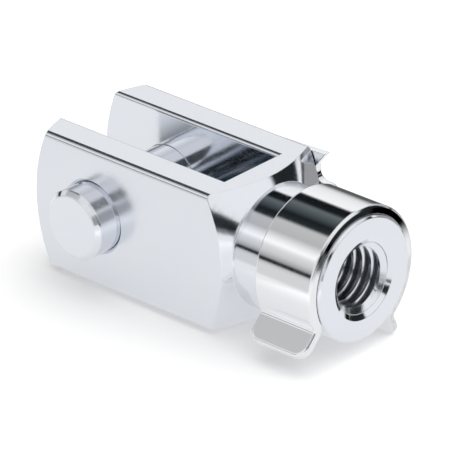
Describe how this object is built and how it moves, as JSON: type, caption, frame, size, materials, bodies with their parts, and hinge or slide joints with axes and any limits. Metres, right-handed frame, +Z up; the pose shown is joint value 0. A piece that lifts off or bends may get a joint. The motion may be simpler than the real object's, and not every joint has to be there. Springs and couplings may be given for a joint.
{
  "type": "clevis rod end",
  "caption": "Forked rod end with a cross pin through its two ears; a spring clip riveted to the pin swings over the threaded shank and snaps round it.",
  "frame": {"origin": "on the pin's axis, midway between the two ears", "axes": "+X along the shank to the threaded end, +Y along the pin towards the clip's arm, +Z up and away from the clip's open side"},
  "size_m": [0.0416, 0.021, 0.0168],
  "materials": {
    "fork_steel": "bright zinc plate over machined square bar",
    "pin_steel": "bright zinc plate over turned bar",
    "clip_steel": "polished, plated spring steel"
  },
  "bodies": {
    "fork": {"fork": "fork_steel"},
    "pin_and_clip": {"clevis_pin": "pin_steel", "spring_clip": "clip_steel"}
  },
  "joints": [
    {"name": "clip_swing", "type": "hinge", "parent": "fork", "child": "pin_and_clip", "pos_m": [0, 0, 0], "axis": [0, -1, 0], "range_deg": [0, 320], "deforming": ["spring_clip"]}
  ]
}
